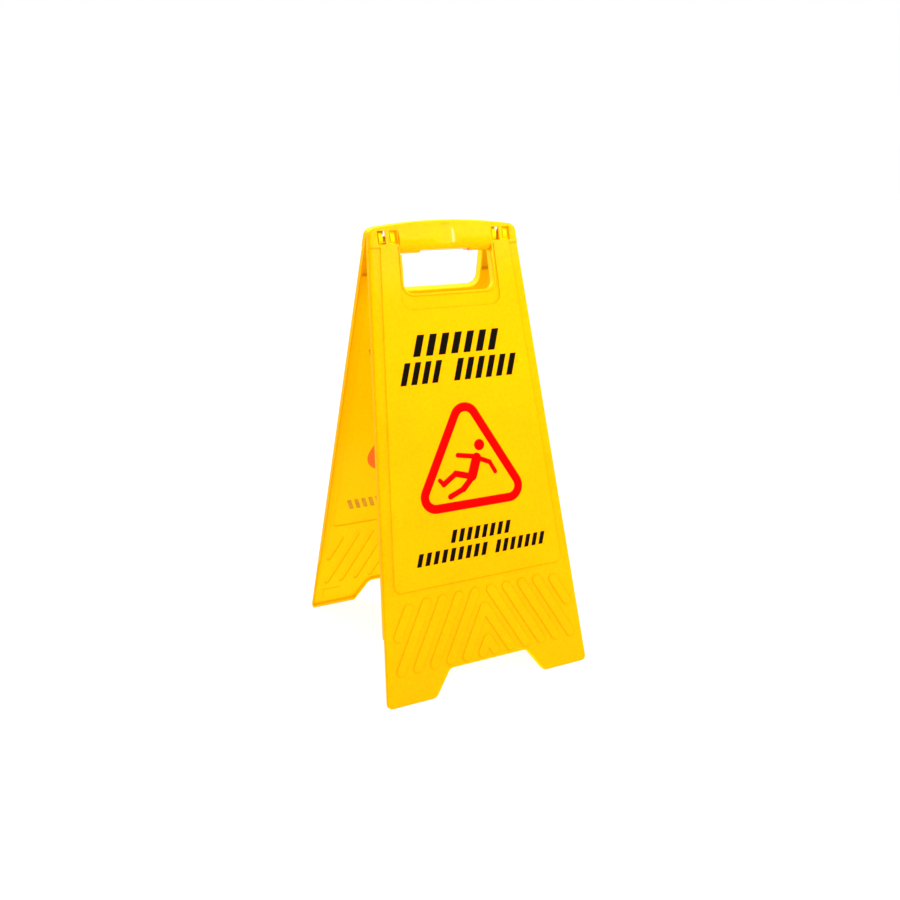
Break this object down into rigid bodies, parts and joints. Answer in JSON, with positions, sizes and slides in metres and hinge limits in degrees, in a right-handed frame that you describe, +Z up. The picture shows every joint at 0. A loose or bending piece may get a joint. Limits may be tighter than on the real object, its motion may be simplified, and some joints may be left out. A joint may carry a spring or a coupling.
{
  "type": "wet floor sign",
  "caption": "Folding two-sided floor warning sign: tapered yellow plastic panels hinged at a carrying grip, with a hand opening and notched feet.",
  "frame": {"origin": "on the floor, midway between the feet of the two panels, with the sign standing open", "axes": "+X to the right seen from the front, -Y towards the front, +Z up; the hinge axis runs along X"},
  "size_m": [0.3048, 0.327, 0.6077],
  "materials": {
    "yellow_plastic": "satin injection-moulded polypropylene with a fine grain",
    "pin_plastic": "satin injection-moulded nylon, the same yellow as the panels",
    "black_ink": "screen-printed ink, slightly glossy",
    "red_ink": "screen-printed ink, slightly glossy"
  },
  "bodies": {
    "front": {"front_panel": "yellow_plastic", "front_stripe_print": "black_ink", "front_symbol_print": "red_ink", "left_hinge_pin": "pin_plastic", "right_hinge_pin": "pin_plastic"},
    "rear": {"rear_panel": "yellow_plastic", "rear_stripe_print": "black_ink", "rear_symbol_print": "red_ink"}
  },
  "joints": [
    {"name": "fold", "type": "hinge", "parent": "front", "child": "rear", "pos_m": [0, 0, 0.58551], "axis": [-1, 0, 0], "range_deg": [0, 29.1]}
  ]
}
